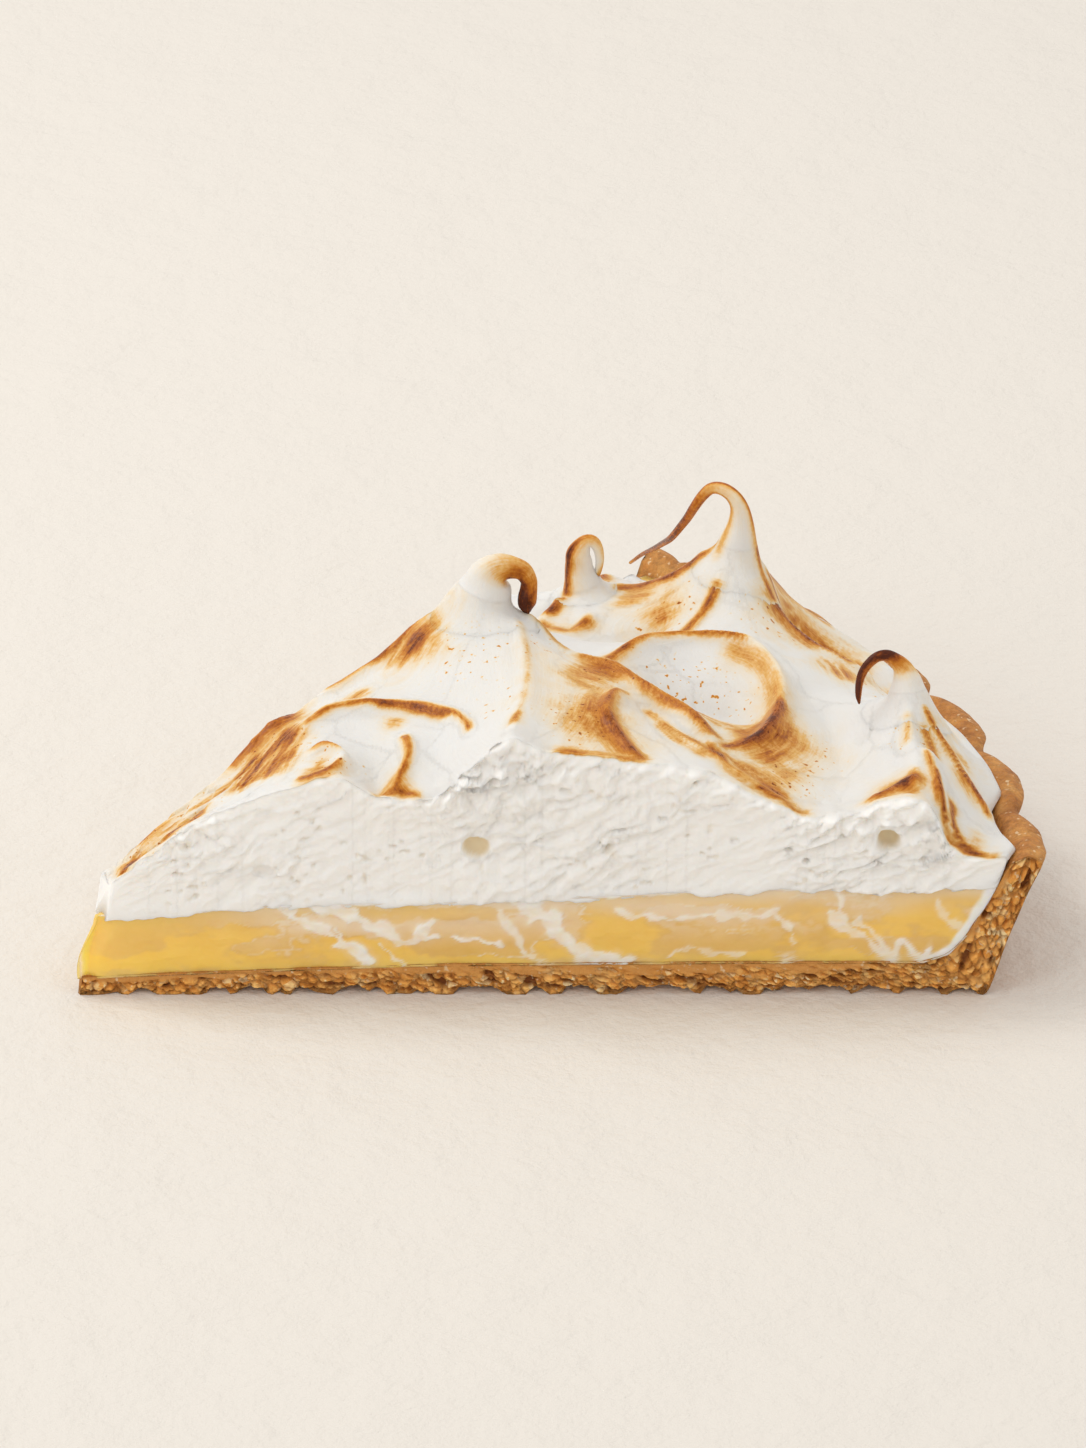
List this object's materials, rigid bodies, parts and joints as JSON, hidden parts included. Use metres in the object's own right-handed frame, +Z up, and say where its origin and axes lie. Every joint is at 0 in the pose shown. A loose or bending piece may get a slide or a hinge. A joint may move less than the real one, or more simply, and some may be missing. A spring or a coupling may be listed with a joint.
{
  "type": "slice of lemon meringue tart",
  "caption": "Wedge-shaped slice of a fluted tart: crumbly pastry crust, lemon curd layer and a toasted, swirled meringue top with curled peaks.",
  "frame": {"origin": "middle of the slice's bounding box, on the underside of the crust", "axes": "+X from the slice's tip along the near cut towards the rim, +Y away from the near cut towards the far cut, +Z up"},
  "size_m": [0.1196, 0.095, 0.0446],
  "materials": {
    "pastry": "baked shortcrust, matt and crumbly, darker in its pores",
    "curd": "soft lemon curd, a little translucent, moist gloss",
    "meringue": "soft whipped meringue, smooth cream-white with toasted brown crests"
  },
  "bodies": {
    "root": {"crust": "pastry", "lemon_filling": "curd", "meringue": "meringue"}
  },
  "joints": []
}
